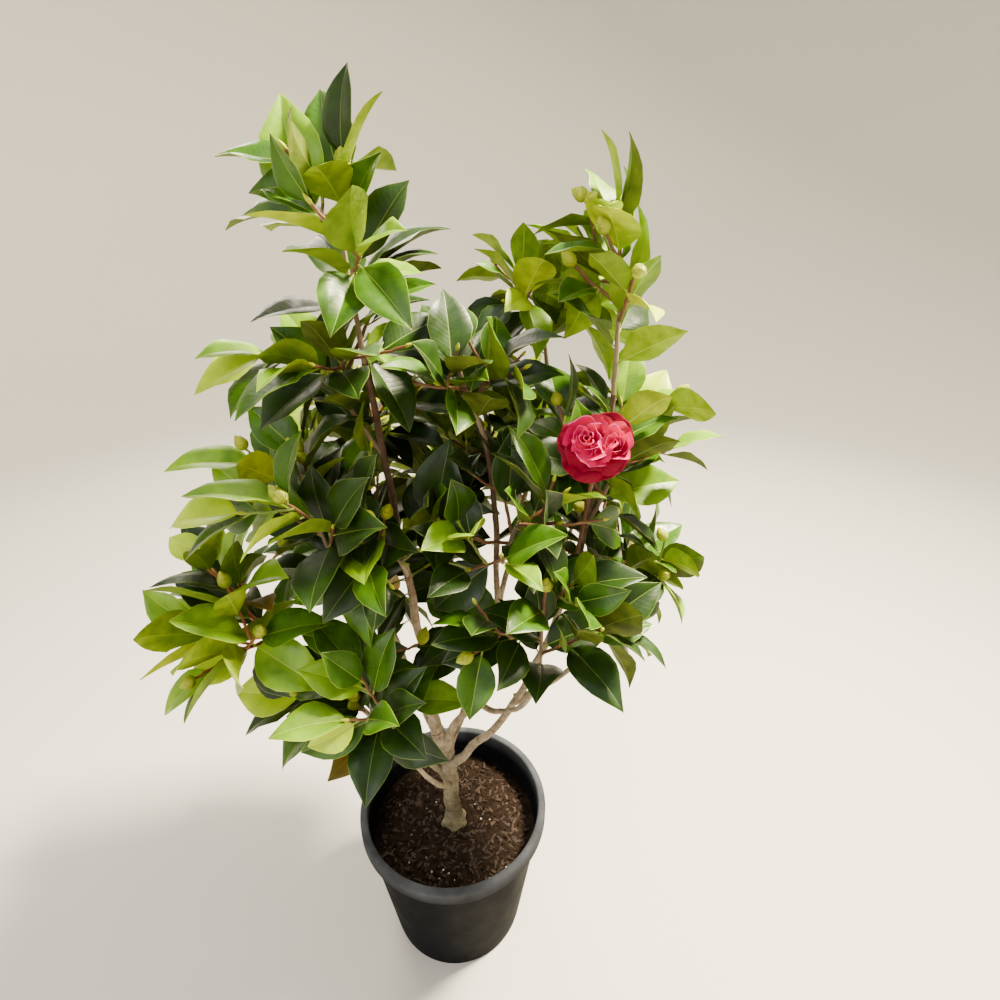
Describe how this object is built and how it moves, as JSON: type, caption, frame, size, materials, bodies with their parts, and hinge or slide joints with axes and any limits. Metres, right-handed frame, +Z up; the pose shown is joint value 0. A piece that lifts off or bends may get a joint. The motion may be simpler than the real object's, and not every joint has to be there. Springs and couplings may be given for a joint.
{
  "type": "potted camellia shrub",
  "caption": "Flowering evergreen shrub in a round nursery pot: slender branching stems, glossy pointed leaves in tufts, plump flower buds and an open full-petalled bloom.",
  "frame": {"origin": "centre of the pot's flat underside, where the pot stands on the ground", "axes": "+Z up along the plant, +X to the right and +Y away when the shrub is seen from its front, where the bloom shows"},
  "size_m": [0.6978, 0.54, 1.3178],
  "materials": {
    "pot_plastic": "satin black, greyed by the sun on the rim",
    "soil": "rough moist bark and peat compost",
    "bark": "smooth dull grey-tan bark",
    "leaf": "glossy deep green, paler beneath",
    "petal": "soft satin crimson"
  },
  "bodies": {
    "root": {"pot": "pot_plastic", "soil": "soil", "trunk": "bark", "stem_left": "bark", "stem_middle": "bark", "stem_right": "bark", "stem_rear": "bark", "bough_left": "bark", "bough_low_left": "bark", "bough_low_front": "bark", "bough_front": "bark", "bough_right": "bark", "bough_rear_left": "bark", "bough_rear": "bark", "bough_rear_right": "bark", "bloom": "petal", "foliage_top_left": "leaf", "foliage_top_right": "leaf", "foliage_top_middle": "leaf", "foliage_middle": "leaf", "foliage_left": "leaf", "foliage_low_left": "leaf", "foliage_low_front": "leaf", "foliage_front": "leaf", "foliage_right": "leaf", "foliage_inner_left": "leaf", "foliage_collar_left": "leaf", "foliage_collar_right": "leaf", "foliage_rear_top": "leaf", "foliage_rear_right": "leaf", "foliage_rear_inner": "leaf", "foliage_rear_left": "leaf", "foliage_rear": "leaf", "foliage_low_rear": "leaf"}
  },
  "joints": []
}
